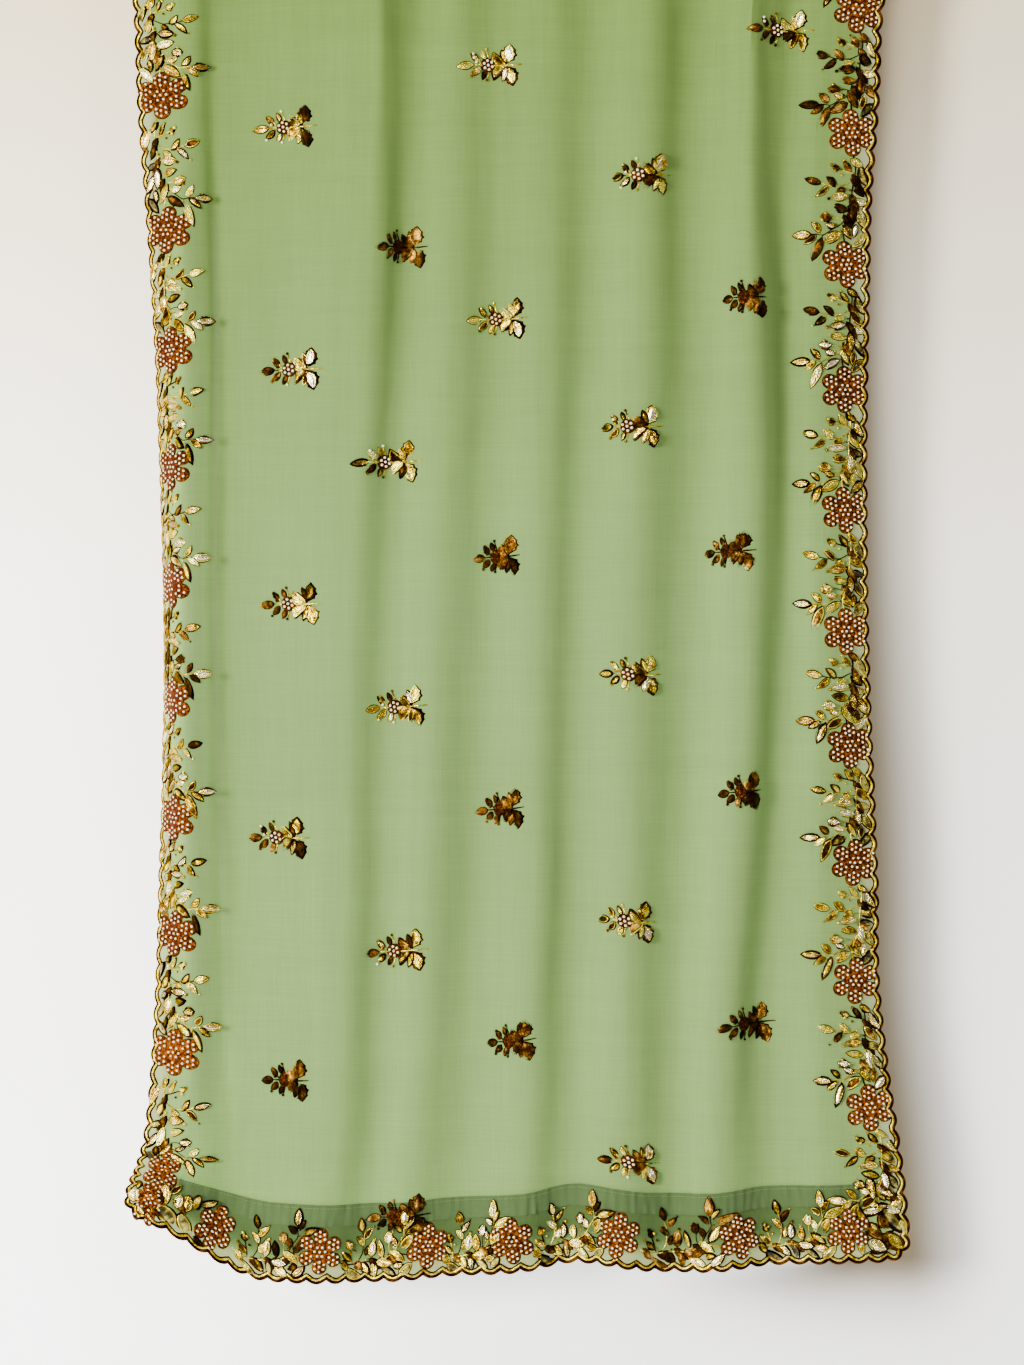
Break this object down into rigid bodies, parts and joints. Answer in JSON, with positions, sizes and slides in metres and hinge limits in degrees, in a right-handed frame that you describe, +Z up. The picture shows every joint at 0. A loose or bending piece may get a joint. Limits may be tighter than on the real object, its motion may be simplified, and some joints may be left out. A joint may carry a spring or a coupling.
{
  "type": "embroidered dupatta stole on rod",
  "caption": "Long sheer green stole with scalloped, embroidered borders, folded over a plain round wooden rod with both ends hanging.",
  "frame": {"origin": "centre of the rod that holds the stole at its middle", "axes": "+X along the rod to the viewer's right, -Y towards the viewer, +Z up"},
  "size_m": [0.76, 0.0893, 1.1049],
  "materials": {
    "sage_georgette": "semi-sheer sage green georgette",
    "pale_organza": "sheer pale green net ground",
    "doubled_hem": "doubled georgette, darker",
    "rod_wood": "satin varnished beech"
  },
  "bodies": {
    "root": {"rod": "rod_wood", "panel_front": "sage_georgette", "panel_over_rod": "sage_georgette", "panel_back": "sage_georgette", "hem_band_front": "doubled_hem", "hem_band_back": "doubled_hem", "border_left_front": "pale_organza", "border_left_over_rod": "pale_organza", "border_left_back": "pale_organza", "border_right_front": "pale_organza", "border_right_over_rod": "pale_organza", "border_right_back": "pale_organza", "border_end_front": "pale_organza", "border_end_back": "pale_organza"}
  },
  "joints": []
}
